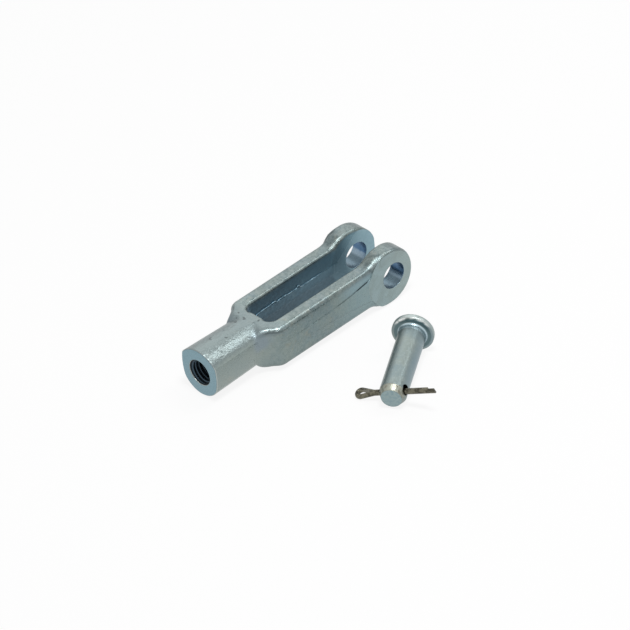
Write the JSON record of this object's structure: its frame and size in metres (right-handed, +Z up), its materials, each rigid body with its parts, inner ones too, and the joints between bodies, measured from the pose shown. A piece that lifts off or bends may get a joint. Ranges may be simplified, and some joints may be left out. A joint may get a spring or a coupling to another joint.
{
  "type": "clevis rod end",
  "caption": "Forged steel fork with a tapped shank and bored ears, laid out with its headed clevis pin and the split pin that locks it.",
  "frame": {"origin": "centre of the pin bore, midway between the two ears", "axes": "+X to the ear tips, shank towards -X and dipping 1.27 degrees as it lies; Y along the pin bore; +Z up, with the floor 11.1 mm below the origin"},
  "size_m": [0.0917, 0.0815, 0.0221],
  "materials": {
    "zinc_forging": "satin clear zinc over a forged grain",
    "zinc_turned": "smooth satin clear zinc",
    "wire_steel": "dull drawn steel"
  },
  "bodies": {
    "root": {"yoke": "zinc_forging", "clevis_pin": "zinc_turned", "split_pin": "wire_steel"}
  },
  "joints": []
}
